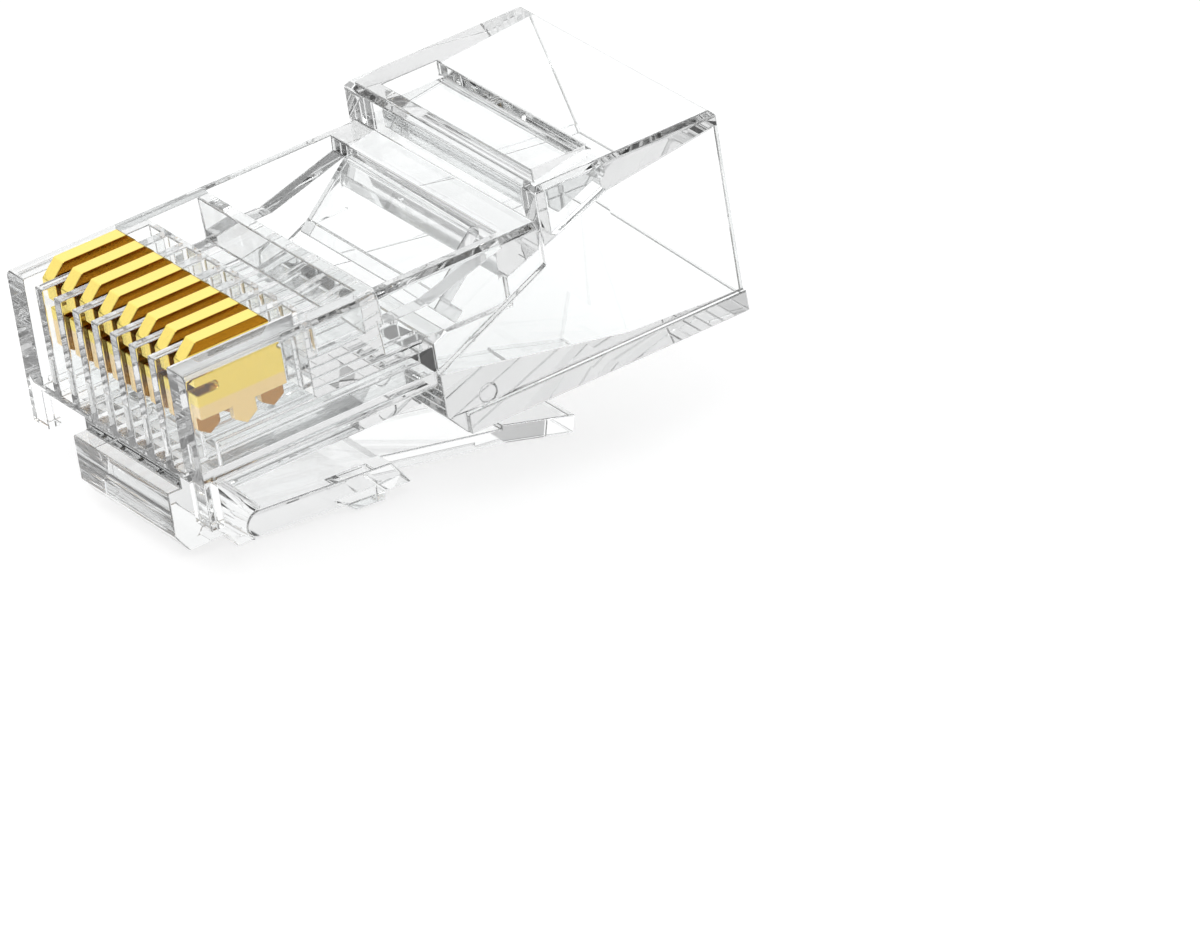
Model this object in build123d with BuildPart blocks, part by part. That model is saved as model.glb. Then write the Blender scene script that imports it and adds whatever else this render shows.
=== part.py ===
from build123d import *

import os

# Eight-way modular plug before crimping: contacts raised, clamp flaps not yet pressed in.
# X runs back along the cable from the front face, Y across the contacts, Z up.
# The origin is on the front face, on the centre plane, level with the underside of the body.
# All sizes are in millimetres and angles in degrees.

os.makedirs("parts", exist_ok=True)

# Outside of the moulding
plug_length = 21.9
front_width = 11.68
front_height = 6.4
rear_height = 7.8
rear_start = 14.35
rear_flare = 0.25
wing_underside = 1.95
edge_break = 0.2

# Front edge of the wider rear section, which sweeps forward towards the underside
flare_shoulder_height = 4.85
flare_toe_x = 9.55
flare_toe_height = 2.6
foot_height = 0.9
foot_setback = 0.75
skirt_height = 0.8
skirt_proud = 0.2
mark_diameter = 0.7
mark_setback = 1.75
mark_depth = 0.06

# Front lip: corner posts either side of an open groove
lip_depth = 0.55
post_width = 1.05
post_underside = 0.4

# Contacts and the comb that guides them
contact_count = 8
contact_pitch = 1.22
contact_thickness = 0.66
contact_length = 3.5
contact_height = 3.4
contact_setback = 0.7
contact_proud = 0.4
contact_chamfer = 0.6
contact_rear_chamfer = 0.35
prong_count = 3
prong_width = 0.92
prong_height = 0.8
prong_point = 0.3
notch_radius = 0.16
notch_length = 0.75
notch_drop = 1.5
rear_notch_drop = 1.05
slot_clearance = 0.03
slot_run_out = 0.95

# Conductor channels
channel_size = 1.0
channel_height = 2.75
channel_front = 1.1

# Trough behind the contacts, and the cross bar behind it
comb_wall = 0.25
trough_length = 2.0
trough_depth = 1.6
trough_wall = 0.8
trough_taper = 0.1
cross_bar = 0.5

# Clamp pocket
pocket_length = 5.2
pocket_wall = 0.55
pocket_taper = 0.1
pocket_end_taper = 0.2
pocket_floor_wall = 0.35
ledge_width = 0.75
ledge_low = 4.95
ledge_high = 5.85
ledge_slope_start = 9.9

# Cable cavity, which widens a little towards its mouth, and the funnel in front of it
side_wall = 0.8
floor_wall = 0.8
roof_wall = 1.4
cavity_front = 17.4
mouth_flare = 0.2
mouth_roof_wall = 0.75
funnel_front = 9.9
funnel_clearance = 0.1

# Conductor clamp: a sloping flap across the pocket, hinged along its upper rear edge
conductor_clamp_width = 8.0
conductor_clamp_thickness = 0.5
conductor_clamp_length = 2.95
conductor_clamp_slope = 42.0
conductor_clamp_drop = 0.45
conductor_clamp_inset = 0.2
conductor_clamp_foot = 0.9

# Jacket clamp: a wedge bar in the window over the cable, hinged along its rear edge
window_start = 0.8
window_length = 2.25
window_width = 9.4
window_gap = 0.2
jacket_clamp_thickness = 0.6
jacket_clamp_drop = 0.55
jacket_clamp_inset = 0.1
jacket_clamp_wedge = 0.6
jacket_clamp_nose = 0.35

# Latch: solid nose block, wide arm with locking shoulders, narrow thumb lever
latch_width = 6.2
lever_width = 3.25
nose_top = 0.87
nose_drop = 0.84
nose_chamfer = 0.47
nose_floor = 1.55
nose_step_x = 1.94
nose_step_run = 0.4
root_back_x = 2.45
root_back_run = 1.0
root_back_height = 0.2
root_back_rise = 0.62
hinge_x = 3.3
hinge_drop = 1.7
arm_thickness = 0.98
arm_slope = 4.5
arm_length = 5.4
shoulder_run = 0.75
hook_start = 3.3
hook_length = 1.75
hook_width = 1.15
hook_ramp = 0.6
hook_drop = 0.32
lever_thickness = 0.58
lever_slope = 11.5
lever_length = 5.6
thumb_slope = 15.5
thumb_length = 2.5
thumb_lip = 0.12

# Clearance round each turning edge
hinge_clearance = 0.04

# Worked out from the sizes above
half_rear = front_width / 2 + rear_flare
slot_width = contact_thickness + 2 * slot_clearance
slot_end = contact_setback + contact_length + slot_run_out
trough_start = slot_end + comb_wall
slot_floor = channel_height - channel_size / 2
blade_top = front_height + contact_proud
blade_height = contact_height - prong_height
blade_middle = contact_setback + contact_length / 2
prong_pitch = (contact_length - prong_width) / (prong_count - 1)
trough_floor = front_height - trough_depth
pocket_start = trough_start + trough_length + cross_bar
pocket_end = pocket_start + pocket_length
pocket_floor = channel_height + channel_size / 2 + pocket_floor_wall
cavity_width = 2 * (half_rear - side_wall)
cavity_roof = rear_height - roof_wall
cavity_height = cavity_roof - floor_wall
cavity_centre = (cavity_roof + floor_wall) / 2
mouth_roof = rear_height - mouth_roof_wall
mouth_floor = floor_wall - mouth_flare
row_width = (contact_count - 1) * contact_pitch + channel_size + 2 * funnel_clearance
funnel_height = channel_size + 2 * funnel_clearance
window_front = rear_start + window_start
window_end = window_front + window_length
flap_hinge_x = pocket_end - conductor_clamp_inset
flap_hinge_height = front_height - conductor_clamp_drop
bar_hinge_x = window_end - jacket_clamp_inset
bar_hinge_height = rear_height - jacket_clamp_drop - jacket_clamp_thickness / 2

with BuildPart() as housing:
    # Wider rear section, seen from the side
    with BuildSketch(Plane.XZ):
        with BuildLine():
            Polyline(
                (plug_length, 0),
                (plug_length, rear_height),
                (rear_start, rear_height),
                (rear_start, flare_shoulder_height),
                (flare_toe_x, flare_toe_height),
                (flare_toe_x, foot_height),
                (flare_toe_x + foot_setback, 0),
                close=True,
            )
        make_face()
    extrude(amount=half_rear, both=True)
    chamfer(housing.edges().filter_by(Axis.X).group_by(Axis.Z)[-1], edge_break)
    chamfer(housing.edges().filter_by(Axis.Y).group_by(Axis.Z)[-1], edge_break)

    # Skirt along the foot of the rear section
    skirt_start = flare_toe_x + foot_setback
    with BuildSketch(Plane.XY):
        with Locations(((skirt_start + plug_length) / 2, 0)):
            Rectangle(plug_length - skirt_start, 2 * (half_rear + skirt_proud))
    extrude(amount=skirt_height)

    # Front section with its side wings, seen from the front
    with BuildSketch(Plane.YZ) as front_section:
        with Locations((0, (wing_underside + front_height) / 2)):
            Rectangle(front_width, front_height - wing_underside)
        chamfer(front_section.vertices(), edge_break)
    extrude(amount=plug_length)

    # Keel between the wings
    with BuildSketch(Plane.YZ.offset(lip_depth)):
        with Locations((0, wing_underside / 2)):
            Rectangle(latch_width, wing_underside)
    extrude(amount=plug_length - lip_depth)

    # Corner posts of the front lip
    post_height = front_height / 2 - post_underside
    with BuildSketch(Plane.YZ):
        with Locations((0, post_underside + post_height / 2)):
            with GridLocations(front_width - post_width, 0, 2, 1):
                Rectangle(post_width, post_height)
    extrude(amount=lip_depth)

    # Nose block that carries the latch, up to the socket that the latch root sits in
    with BuildSketch(Plane.XZ):
        with BuildLine():
            Polyline(
                (0, nose_top),
                (0, -nose_drop),
                (nose_chamfer, -nose_floor),
                (nose_step_x, -nose_floor),
                (nose_step_x + nose_step_run, -hinge_drop - arm_thickness / 2),
                (hinge_x, -hinge_drop - arm_thickness / 2),
                (hinge_x, -hinge_drop),
                (root_back_x + root_back_run, -hinge_drop + root_back_rise),
                (root_back_x, root_back_height),
                (root_back_x, nose_top),
                close=True,
            )
        make_face()
        with Locations((hinge_x, -hinge_drop)):
            Circle(arm_thickness / 2 + hinge_clearance, mode=Mode.SUBTRACT)
    extrude(amount=latch_width / 2, both=True)

    # Cable cavity, open at the rear
    with BuildSketch(Plane.YZ.offset(cavity_front)):
        with Locations((0, cavity_centre)):
            Rectangle(cavity_width, cavity_height)
    with BuildSketch(Plane.YZ.offset(plug_length)):
        with Locations((0, (mouth_roof + mouth_floor) / 2)):
            Rectangle(cavity_width + 2 * mouth_flare, mouth_roof - mouth_floor)
    loft(mode=Mode.SUBTRACT)

    # Funnel that gathers the conductors into one flat row
    with BuildSketch(Plane.YZ.offset(funnel_front)):
        with Locations((0, channel_height)):
            Rectangle(row_width, funnel_height)
    with BuildSketch(Plane.YZ.offset(cavity_front)):
        with Locations((0, cavity_centre)):
            Rectangle(cavity_width, cavity_height)
    loft(mode=Mode.SUBTRACT)

    # Row of conductor channels
    with BuildSketch(Plane.YZ.offset(channel_front)):
        with Locations((0, channel_height)):
            with GridLocations(contact_pitch, 0, contact_count, 1):
                Rectangle(channel_size, channel_size)
    extrude(amount=funnel_front - channel_front, mode=Mode.SUBTRACT)

    # Comb: one slot for each contact, open to the front and the top
    with BuildSketch(Plane.XY.offset(slot_floor)):
        with Locations((slot_end / 2, 0)):
            with GridLocations(0, contact_pitch, 1, contact_count):
                Rectangle(slot_end, slot_width)
    extrude(amount=front_height - slot_floor, mode=Mode.SUBTRACT)

    # Trough behind the comb, narrower at its floor
    with BuildSketch(Plane.XY.offset(front_height)):
        with Locations((trough_start + trough_length / 2, 0)):
            Rectangle(trough_length, front_width - 2 * trough_wall)
    with BuildSketch(Plane.XY.offset(trough_floor)):
        with Locations((trough_start + trough_length / 2, 0)):
            Rectangle(trough_length, front_width - 2 * (trough_wall + trough_taper))
    loft(mode=Mode.SUBTRACT)

    # Clamp pocket, narrower at its foot, where it opens into the funnel
    with BuildSketch(Plane.XY.offset(front_height)):
        with Locations((pocket_start + pocket_length / 2, 0)):
            Rectangle(pocket_length, front_width - 2 * pocket_wall)
    with BuildSketch(Plane.XY.offset(pocket_floor)):
        with Locations((pocket_start + pocket_length / 2, 0)):
            Rectangle(
                pocket_length - 2 * pocket_end_taper,
                front_width - 2 * (pocket_wall + pocket_taper),
            )
    loft(mode=Mode.SUBTRACT)

    # Ledge along each side of the pocket, which climbs towards the rear
    ledge_middle = front_width / 2 - pocket_wall - ledge_width / 2
    with BuildSketch(Plane.XZ.offset(ledge_middle), Plane.XZ.offset(-ledge_middle)):
        with BuildLine():
            Polyline(
                (pocket_start, pocket_floor),
                (pocket_start, ledge_low),
                (ledge_slope_start, ledge_low),
                (pocket_end, ledge_high),
                (pocket_end, pocket_floor),
                close=True,
            )
        make_face()
    extrude(amount=ledge_width / 2, both=True)

    # Window over the cable for the jacket clamp
    with BuildSketch(Plane.XY.offset(cavity_centre)):
        with Locations((window_end - window_length / 2, 0)):
            Rectangle(window_length, window_width)
    extrude(amount=rear_height - cavity_centre, mode=Mode.SUBTRACT)

    # Grooves that the hinge edges of the two clamps sit in
    with BuildSketch(Plane.XZ):
        with Locations((flap_hinge_x, flap_hinge_height)):
            Circle(conductor_clamp_thickness / 2 + hinge_clearance)
    extrude(amount=conductor_clamp_width / 2 + hinge_clearance, both=True, mode=Mode.SUBTRACT)
    with BuildSketch(Plane.XZ):
        with Locations((bar_hinge_x, bar_hinge_height)):
            Circle(jacket_clamp_thickness / 2 + hinge_clearance)
    extrude(amount=window_width / 2, both=True, mode=Mode.SUBTRACT)

    # Shallow round mark low on each side
    with BuildSketch(Plane.XZ.offset(half_rear - mark_depth), Plane.XZ.offset(-half_rear)):
        with Locations((flare_toe_x + mark_setback, skirt_height + mark_diameter / 2)):
            Circle(mark_diameter / 2)
    extrude(amount=mark_depth, mode=Mode.SUBTRACT)

with BuildPart() as latch_lever:
    # Wide arm from its round root back to the locking shoulders
    with BuildSketch(Plane.XZ) as arm:
        with Locations(Location((hinge_x, -hinge_drop), -arm_slope)):
            Circle(arm_thickness / 2)
            Rectangle(arm_length, arm_thickness, align=(Align.MIN, Align.CENTER))
            Polygon(
                (arm_length, arm_thickness / 2),
                (arm_length + shoulder_run, -arm_thickness / 2),
                (arm_length, -arm_thickness / 2),
                align=None,
            )
    extrude(amount=latch_width / 2, both=True)

    # Locking hooks under the edges of the arm
    hook_middle = (latch_width - hook_width) / 2
    with BuildSketch(Plane.XZ.offset(hook_middle), Plane.XZ.offset(-hook_middle)):
        with Locations(Location((hinge_x, -hinge_drop), -arm_slope)):
            Polygon(
                (hook_start, -arm_thickness / 2),
                (hook_start + hook_ramp, -arm_thickness / 2 - hook_drop),
                (hook_start + hook_length, -arm_thickness / 2 - hook_drop),
                (hook_start + hook_length, -arm_thickness / 2),
                align=None,
            )
    extrude(amount=hook_width / 2, both=True)

    # Narrow lever and the steeper thumb pad at its end
    with BuildSketch(Plane.XZ):
        with Locations(Location((hinge_x, -hinge_drop), -arm_slope)):
            with Locations(Location((arm_length, -arm_thickness / 2), arm_slope - lever_slope)):
                Rectangle(lever_length, lever_thickness, align=(Align.MIN, Align.MIN))
                with Locations(Location((lever_length, 0), lever_slope - thumb_slope)):
                    with Locations((thumb_length / 2, 0)):
                        Rectangle(
                            thumb_length + lever_thickness,
                            lever_thickness + thumb_lip,
                            align=(Align.CENTER, Align.MIN),
                        )
    extrude(amount=lever_width / 2, both=True)

with BuildPart() as conductor_clamp:
    # Flap that slopes down and forward, with a thicker foot at its free edge
    with BuildSketch(Plane.XZ):
        with Locations(Location((flap_hinge_x, flap_hinge_height), 180 + conductor_clamp_slope)):
            Circle(conductor_clamp_thickness / 2)
            Rectangle(
                conductor_clamp_length,
                conductor_clamp_thickness,
                align=(Align.MIN, Align.CENTER),
            )
            with Locations((conductor_clamp_length, 0)):
                Rectangle(
                    conductor_clamp_thickness,
                    conductor_clamp_foot,
                    align=(Align.MAX, Align.MIN),
                )
    extrude(amount=conductor_clamp_width / 2, both=True)

with BuildPart() as jacket_clamp:
    # Wedge bar, deepest at its free front edge
    bar_front = window_front + window_gap
    with BuildSketch(Plane.XZ):
        with Locations((bar_hinge_x, bar_hinge_height)):
            Circle(jacket_clamp_thickness / 2)
        with BuildLine():
            Polyline(
                (bar_hinge_x, bar_hinge_height + jacket_clamp_thickness / 2),
                (bar_front, bar_hinge_height + jacket_clamp_thickness / 2),
                (bar_front, bar_hinge_height - jacket_clamp_wedge),
                (bar_front + jacket_clamp_nose, bar_hinge_height - jacket_clamp_wedge - jacket_clamp_nose),
                (bar_hinge_x, bar_hinge_height - jacket_clamp_thickness / 2),
                close=True,
            )
        make_face()
    extrude(amount=window_width / 2 - window_gap, both=True)

# One contact for each slot, all alike
contacts = []
for number in range(contact_count):
    contact_y = (number - (contact_count - 1) / 2) * contact_pitch
    with BuildPart() as contact:
        # Blade with its two corners cut back and a notch at each end
        with BuildSketch(Plane.XZ.offset(-contact_y)):
            with BuildLine():
                Polyline(
                    (contact_setback, blade_top - blade_height),
                    (contact_setback, blade_top - contact_chamfer),
                    (contact_setback + contact_chamfer, blade_top),
                    (contact_setback + contact_length - contact_rear_chamfer, blade_top),
                    (contact_setback + contact_length, blade_top - contact_rear_chamfer),
                    (contact_setback + contact_length, blade_top - blade_height),
                    close=True,
                )
            make_face()
            with Locations((contact_setback, blade_top - notch_drop)):
                SlotCenterToCenter(2 * notch_length, 2 * notch_radius, mode=Mode.SUBTRACT)
            with Locations((contact_setback + contact_length, blade_top - rear_notch_drop)):
                Circle(notch_radius, mode=Mode.SUBTRACT)
        extrude(amount=contact_thickness / 2, both=True)

        # Pointed prongs, the middle one set to one side of the outer two
        for prong in range(prong_count):
            prong_x = blade_middle + (prong - (prong_count - 1) / 2) * prong_pitch
            prong_side = contact_thickness / 2 if prong % 2 else 0
            with BuildSketch(Plane.XZ.offset(-contact_y - contact_thickness / 2 + prong_side)):
                with Locations((prong_x, blade_top - blade_height)):
                    Polygon(
                        (-prong_width / 2, 0),
                        (-prong_width / 2, prong_point - prong_height),
                        (0, -prong_height),
                        (prong_width / 2, prong_point - prong_height),
                        (prong_width / 2, 0),
                        align=None,
                    )
            extrude(amount=contact_thickness / 2)
    contact.part.label = f"contact_{number + 1}"
    contacts.append(contact.part)

housing.part.label = "housing"
latch_lever.part.label = "latch_lever"
conductor_clamp.part.label = "conductor_clamp"
jacket_clamp.part.label = "jacket_clamp"
for piece in [housing.part, latch_lever.part, conductor_clamp.part, jacket_clamp.part, *contacts]:
    export_step(piece, f"parts/{piece.label}.step")
    box = piece.bounding_box()
    print(piece.label, len(piece.solids()), round(piece.volume, 3), box)
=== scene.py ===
from math import atan2, cos, radians, sin

import bpy
from mathutils import Matrix, Vector


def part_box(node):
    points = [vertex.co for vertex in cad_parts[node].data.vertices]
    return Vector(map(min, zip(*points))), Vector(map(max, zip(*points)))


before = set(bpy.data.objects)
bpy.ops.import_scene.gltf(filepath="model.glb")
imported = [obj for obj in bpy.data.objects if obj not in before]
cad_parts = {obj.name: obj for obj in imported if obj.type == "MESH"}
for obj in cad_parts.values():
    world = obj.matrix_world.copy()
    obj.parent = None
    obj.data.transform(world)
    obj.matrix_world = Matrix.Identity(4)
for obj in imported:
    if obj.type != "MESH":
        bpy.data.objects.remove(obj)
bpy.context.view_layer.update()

MM = 0.001

# The photograph's view, found by fitting a camera to the corners of the plug
VIEW_AZIMUTH = -119.35
VIEW_ELEVATION = 28.39
VIEW_ROLL = -9.38
VIEW_CENTRE = Vector((10.5, 0, 3.5)) * MM
VIEW_DISTANCE = 445.7 * MM
VIEW_SHIFT_RIGHT = 8.15 * MM
VIEW_SHIFT_DOWN = 6.21 * MM
LENS = 388.5

# A softbox behind the plug on its left. It fades out between two angles from its middle, given
# by their cosines.
SOFTBOX_AZIMUTH = 86
SOFTBOX_ELEVATION = 29
SOFTBOX_EDGE = 0.76
SOFTBOX_CORE = 0.84
SOFTBOX_STRENGTH = 1.2

# The room is dark below the first height on a globe of radius 1, and bright above the second
ROOM_DARK = 0.3
ROOM_BRIGHT = 0.9
DARK_LEVEL = 0.05

# Light has to find its way out of the clear walls after this many inner reflections
INNER_REFLECTIONS = 32

# Radii on the edges: sharp on stamped metal, softer on moulded plastic
STAMPED_EDGE = 0.04 * MM
MOULDED_EDGE = 0.06 * MM

# The gold flash on the contacts ends this far up them; bare bronze below
PLATING_EDGE = 4.7 * MM
PLATING_BLUR = 0.04 * MM

# The side walls of the comb end here, and the blades stand proud of them
WALL_TOP = 6.4 * MM

# A face this far turned to the side is a flank of the blade
FLANK_NORMAL = 0.7

# Where the nose and the thumb pad touch the floor: from the front of the plug, and from the
# end of the lever
NOSE_TOUCH = 2.34 * MM
THUMB_TOUCH = 0.18 * MM
FLOOR_SIZE = 3

# The white table fades to a dark room between these distances from the plug
TABLE_NEAR = 40 * MM
TABLE_FAR = 90 * MM


def linear(hex_colour):
    """sRGB hex to a linear colour with alpha."""
    channels = [int(hex_colour[i : i + 2], 16) / 255 for i in (1, 3, 5)]
    return (*[c / 12.92 if c <= 0.04045 else ((c + 0.055) / 1.055) ** 2.4 for c in channels], 1)


def add(tree, kind, links=None, **settings):
    """Adds a node. links joins its inputs to outputs, and settings fill inputs or properties."""
    node = tree.nodes.new(kind)
    for name, value in settings.items():
        if hasattr(node, name):
            setattr(node, name, value)
        else:
            node.inputs[name.replace("_", " ")].default_value = value
    for name, output in (links or {}).items():
        tree.links.new(output, node.inputs[name])
    return node


def new_material(name):
    """A node material, emptied of all its nodes."""
    material = bpy.data.materials.new(name)
    material.use_nodes = True
    material.node_tree.nodes.clear()
    return material, material.node_tree


def dress(node, material, edge):
    """Gives a CAD node one material and rounds its edges."""
    node.data.materials.clear()
    node.data.materials.append(material)
    weld = node.modifiers.new("weld", "WELD")
    weld.merge_threshold = 0.001 * MM
    flat = node.modifiers.new("flat", "DECIMATE")
    flat.decimate_type = "DISSOLVE"
    flat.angle_limit = radians(0.5)
    rounded = node.modifiers.new("rounded", "BEVEL")
    rounded.width = edge
    rounded.segments = 2
    rounded.limit_method = "ANGLE"
    rounded.angle_limit = radians(35)
    rounded.use_clamp_overlap = False
    rounded.harden_normals = True


# Clear polycarbonate, injection moulded: polished walls with the faint waves of the melt's flow.
# It takes a little of the light on each millimetre, so long ways through it look grey.
clear_polycarbonate, tree = new_material("clear_polycarbonate")
place = add(tree, "ShaderNodeTexCoord")
flow = add(tree, "ShaderNodeTexNoise", {"Vector": place.outputs["Object"]}, Scale=1 / (2.5 * MM), Detail=2)
waves = add(tree, "ShaderNodeBump", {"Height": flow.outputs["Fac"]}, Strength=0.01, Distance=0.02 * MM)
haze = add(tree, "ShaderNodeMapRange", {"Value": flow.outputs["Fac"]})
haze.inputs["To Min"].default_value = 0.0
haze.inputs["To Max"].default_value = 0.02
shader = add(
    tree,
    "ShaderNodeBsdfPrincipled",
    {"Normal": waves.outputs["Normal"], "Roughness": haze.outputs["Result"]},
)
shader.inputs["Base Color"].default_value = linear("#FCFDFD")
shader.inputs["Transmission Weight"].default_value = 1
shader.inputs["IOR"].default_value = 1.586
loss = add(tree, "ShaderNodeVolumeAbsorption", Color=(0, 0, 0, 1), Density=30)
add(tree, "ShaderNodeOutputMaterial", {"Surface": shader.outputs["BSDF"], "Volume": loss.outputs[0]})

# Gold flash over phosphor bronze, stamped: bright, with fine lines along the blade. Painted shade: the flat
# sides are a shade darker than the top, and deep amber where they face each other across a gap or stand
# bare above the wall.
gold_plated_bronze, tree = new_material("gold_plated_bronze")
place = add(tree, "ShaderNodeTexCoord")
along = add(tree, "ShaderNodeMapping", {"Vector": place.outputs["Object"]})
along.inputs["Scale"].default_value = (1, 12, 12)
lines = add(tree, "ShaderNodeTexNoise", {"Vector": along.outputs["Vector"]}, Scale=1 / (1.2 * MM), Detail=3)
grain = add(tree, "ShaderNodeBump", {"Height": lines.outputs["Fac"]}, Strength=0.15, Distance=0.005 * MM)
polish = add(tree, "ShaderNodeMapRange", {"Value": lines.outputs["Fac"]})
polish.inputs["To Min"].default_value = 0.16
polish.inputs["To Max"].default_value = 0.3
parts = add(tree, "ShaderNodeSeparateXYZ", {"Vector": place.outputs["Object"]})
plated = add(tree, "ShaderNodeMapRange", {"Value": parts.outputs["Z"]})
plated.inputs["From Min"].default_value = PLATING_EDGE - PLATING_BLUR
plated.inputs["From Max"].default_value = PLATING_EDGE + PLATING_BLUR
finish = add(tree, "ShaderNodeMix", {"Factor": plated.outputs["Result"]}, data_type="RGBA")
finish.inputs["A"].default_value = linear("#F8DDAD")
finish.inputs["B"].default_value = linear("#FBE37C")
# Painted shade on the flanks of the blades, the faces turned to the side
facing = add(tree, "ShaderNodeSeparateXYZ", {"Vector": place.outputs["Normal"]})
sideways = add(tree, "ShaderNodeMath", {0: facing.outputs["Y"]}, operation="ABSOLUTE")
flank = add(tree, "ShaderNodeMath", {0: sideways.outputs[0]}, operation="GREATER_THAN")
flank.inputs[1].default_value = FLANK_NORMAL
off_centre = add(tree, "ShaderNodeMath", {0: parts.outputs["Y"]}, operation="ABSOLUTE")
inner = add(tree, "ShaderNodeMath", {0: off_centre.outputs[0]}, operation="LESS_THAN")
inner.inputs[1].default_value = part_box("contact_8")[1][1] - 0.1 * MM
proud = add(tree, "ShaderNodeMath", {0: parts.outputs["Z"]}, operation="GREATER_THAN")
proud.inputs[1].default_value = WALL_TOP
deep_shade_mask = add(tree, "ShaderNodeMath", {0: inner.outputs[0], 1: proud.outputs[0]}, operation="MAXIMUM")
# Deep amber painted shade, for bare bronze and for gold, where a flank faces another blade or stands above
# the wall
deep_shade_colour = add(tree, "ShaderNodeMix", {"Factor": plated.outputs["Result"]}, data_type="RGBA")
deep_shade_colour.inputs["A"].default_value = linear("#B28F56")
deep_shade_colour.inputs["B"].default_value = linear("#CB9A52")
# The outer flank behind the wall gets only a light painted shade
flank_shade_colour = add(tree, "ShaderNodeMix", {"Factor": deep_shade_mask.outputs[0]}, data_type="RGBA")
flank_shade_colour.inputs["A"].default_value = linear("#F1ECD5")
tree.links.new(deep_shade_colour.outputs["Result"], flank_shade_colour.inputs["B"])
# The flanks' colour is multiplied by the painted shade
finish_with_painted_shade = add(
    tree,
    "ShaderNodeMix",
    {"Factor": flank.outputs[0]},
    data_type="RGBA",
    blend_type="MULTIPLY",
)
tree.links.new(finish.outputs["Result"], finish_with_painted_shade.inputs["A"])
tree.links.new(flank_shade_colour.outputs["Result"], finish_with_painted_shade.inputs["B"])
shader = add(
    tree,
    "ShaderNodeBsdfPrincipled",
    {
        "Base Color": finish_with_painted_shade.outputs["Result"],
        "Normal": grain.outputs["Normal"],
        "Roughness": polish.outputs["Result"],
    },
)
shader.inputs["Metallic"].default_value = 1
add(tree, "ShaderNodeOutputMaterial", {"Surface": shader.outputs["BSDF"]})

for name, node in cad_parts.items():
    if name.startswith("contact"):
        dress(node, gold_plated_bronze, STAMPED_EDGE)
    else:
        dress(node, clear_polycarbonate, MOULDED_EDGE)

# The plug lies on its latch: the floor touches the nose and the thumb pad
nose_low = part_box("housing")[0]
lever_low, lever_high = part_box("latch_lever")
nose_touch = Vector((NOSE_TOUCH, 0, nose_low[2]))
thumb_touch = Vector((lever_high[0] - THUMB_TOUCH, 0, lever_low[2]))
slope = atan2(nose_touch.z - thumb_touch.z, thumb_touch.x - nose_touch.x)

# White table: the camera and the glass see it glow, and it still takes a soft shadow
floor_paint, tree = new_material("white_floor_paint")
path = add(tree, "ShaderNodeLightPath")
direct = path.outputs["Is Camera Ray"]
mirrored = path.outputs["Is Glossy Ray"]
bent = path.outputs["Is Transmission Ray"]
seen = add(tree, "ShaderNodeMath", {0: direct, 1: mirrored}, operation="MAXIMUM")
seen = add(tree, "ShaderNodeMath", {0: seen.outputs[0], 1: bent}, operation="MAXIMUM")
plain = add(tree, "ShaderNodeBsdfDiffuse", Color=(0.8, 0.8, 0.8, 1))
soft = add(tree, "ShaderNodeBsdfDiffuse", Color=(0.3, 0.3, 0.3, 1))
level = add(tree, "ShaderNodeMapRange", {"Value": direct})
level.inputs["To Min"].default_value = 0.9
level.inputs["To Max"].default_value = 0.8
place = add(tree, "ShaderNodeTexCoord")
away = add(tree, "ShaderNodeVectorMath", {0: place.outputs["Object"]}, operation="LENGTH")
table = add(tree, "ShaderNodeMapRange", {"Value": away.outputs["Value"]})
table.inputs["From Min"].default_value = TABLE_NEAR
table.inputs["From Max"].default_value = TABLE_FAR
table.inputs["To Min"].default_value = 1.0
table.inputs["To Max"].default_value = DARK_LEVEL
reach = add(tree, "ShaderNodeMath", {0: table.outputs["Result"], 1: direct}, operation="MAXIMUM")
shown = add(
    tree,
    "ShaderNodeMath",
    {0: level.outputs["Result"], 1: reach.outputs[0]},
    operation="MULTIPLY",
)
glow = add(tree, "ShaderNodeEmission", {"Strength": shown.outputs[0]})
pale = add(tree, "ShaderNodeAddShader", {0: soft.outputs[0], 1: glow.outputs[0]})
paint = add(tree, "ShaderNodeMixShader", {0: seen.outputs[0], 1: plain.outputs[0], 2: pale.outputs[0]})
add(tree, "ShaderNodeOutputMaterial", {"Surface": paint.outputs[0]})

bpy.ops.object.select_all(action="DESELECT")
bpy.ops.mesh.primitive_plane_add(size=FLOOR_SIZE, location=thumb_touch, rotation=(0, slope, 0))
floor = bpy.context.object
floor.name = "floor"
floor.data.materials.append(floor_paint)

# Studio: bright overhead and dark low down, so that clear edges show, and the softbox
world = bpy.data.worlds.new("studio")
bpy.context.scene.world = world
world.use_nodes = True
tree = world.node_tree
tree.nodes.clear()
place = add(tree, "ShaderNodeTexCoord")
parts = add(tree, "ShaderNodeSeparateXYZ", {"Vector": place.outputs["Generated"]})
height = add(tree, "ShaderNodeMapRange", {"Value": parts.outputs["Z"]})
height.inputs["From Min"].default_value = ROOM_DARK
height.inputs["From Max"].default_value = ROOM_BRIGHT
height.inputs["To Min"].default_value = DARK_LEVEL
height.inputs["To Max"].default_value = 1.0
towards_box = add(tree, "ShaderNodeVectorMath", {0: place.outputs["Generated"]}, operation="DOT_PRODUCT")
towards_box.inputs[1].default_value = (
    cos(radians(SOFTBOX_AZIMUTH)) * cos(radians(SOFTBOX_ELEVATION)),
    sin(radians(SOFTBOX_AZIMUTH)) * cos(radians(SOFTBOX_ELEVATION)),
    sin(radians(SOFTBOX_ELEVATION)),
)
softbox = add(tree, "ShaderNodeMapRange", {"Value": towards_box.outputs["Value"]})
softbox.inputs["From Min"].default_value = SOFTBOX_EDGE
softbox.inputs["From Max"].default_value = SOFTBOX_CORE
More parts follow.
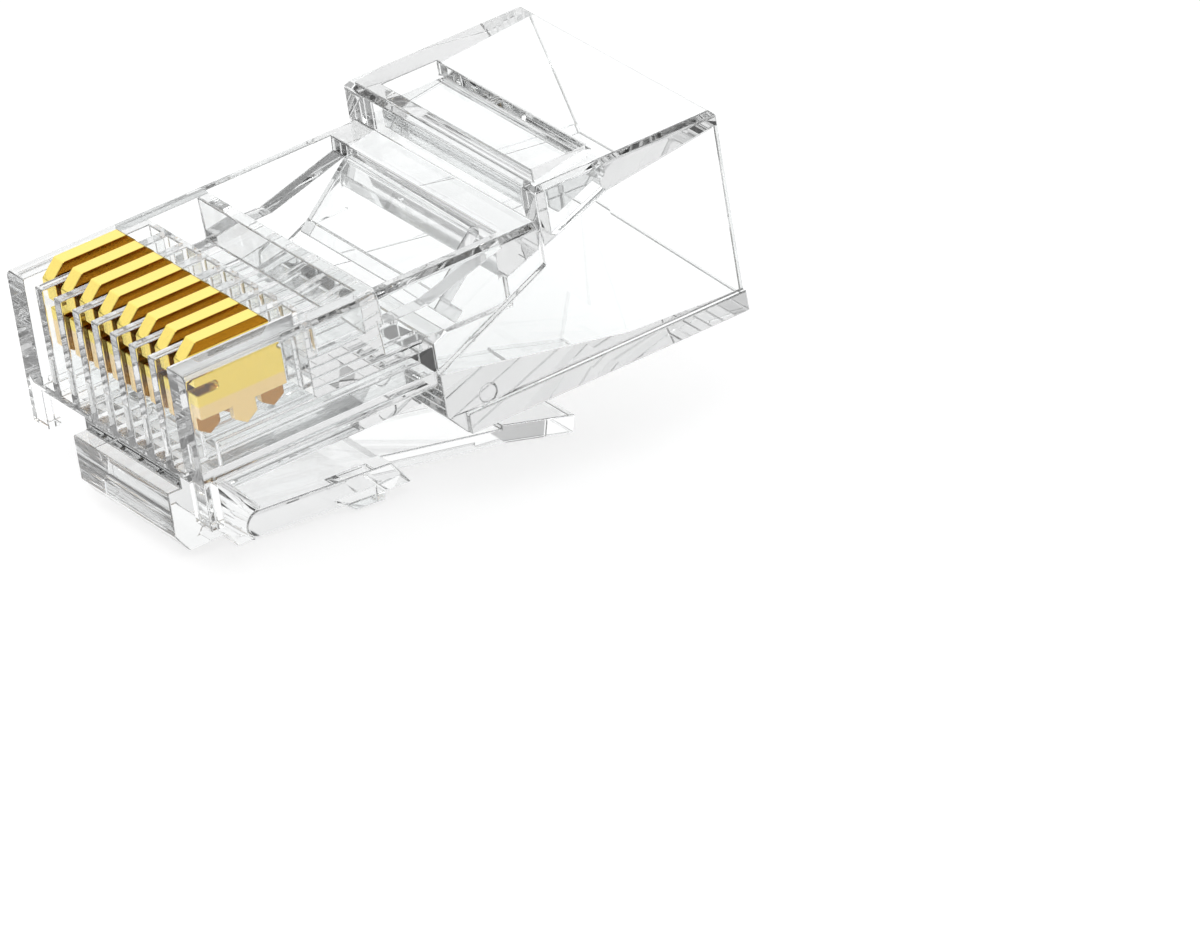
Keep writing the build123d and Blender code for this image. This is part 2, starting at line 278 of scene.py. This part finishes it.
softbox.inputs["To Min"].default_value = 0.0
softbox.inputs["To Max"].default_value = SOFTBOX_STRENGTH
lit = add(
    tree,
    "ShaderNodeMath",
    {0: height.outputs["Result"], 1: softbox.outputs["Result"]},
    operation="MAXIMUM",
)
surround = add(tree, "ShaderNodeBackground", {"Color": lit.outputs[0]}, Strength=1.0)
white = add(tree, "ShaderNodeBackground", Color=(1, 1, 1, 1), Strength=1.0)
path = add(tree, "ShaderNodeLightPath")
mixed = add(
    tree,
    "ShaderNodeMixShader",
    {0: path.outputs["Is Camera Ray"], 1: surround.outputs[0], 2: white.outputs[0]},
)
add(tree, "ShaderNodeOutputWorld", {"Surface": mixed.outputs[0]})

key = bpy.data.lights.new("key", "SUN")
key.energy = 1.0
key.angle = radians(30)
key_object = bpy.data.objects.new("key", key)
key_object.rotation_euler = (radians(28), radians(-22), 0)
bpy.context.scene.collection.objects.link(key_object)

cycles = bpy.context.scene.cycles
cycles.max_bounces = INNER_REFLECTIONS
cycles.glossy_bounces = INNER_REFLECTIONS
cycles.transmission_bounces = INNER_REFLECTIONS

# Camera
towards = Vector(
    (
        cos(radians(VIEW_ELEVATION)) * cos(radians(VIEW_AZIMUTH)),
        cos(radians(VIEW_ELEVATION)) * sin(radians(VIEW_AZIMUTH)),
        sin(radians(VIEW_ELEVATION)),
    )
)
right = Vector((0, 0, 1)).cross(towards).normalized()
up = towards.cross(right)
roll = radians(VIEW_ROLL)
right, up = cos(roll) * right + sin(roll) * up, cos(roll) * up - sin(roll) * right
camera = bpy.data.objects.new("camera", bpy.data.cameras.new("camera"))
camera.data.lens = LENS
camera.data.sensor_width = 36
camera.data.clip_start = 0.01
camera.matrix_world = Matrix.Translation(
    VIEW_CENTRE + VIEW_DISTANCE * towards + VIEW_SHIFT_RIGHT * right - VIEW_SHIFT_DOWN * up
) @ Matrix((right, up, towards)).transposed().to_4x4()
bpy.context.scene.collection.objects.link(camera)
bpy.context.scene.camera = camera
bpy.context.scene.view_settings.view_transform = "Standard"
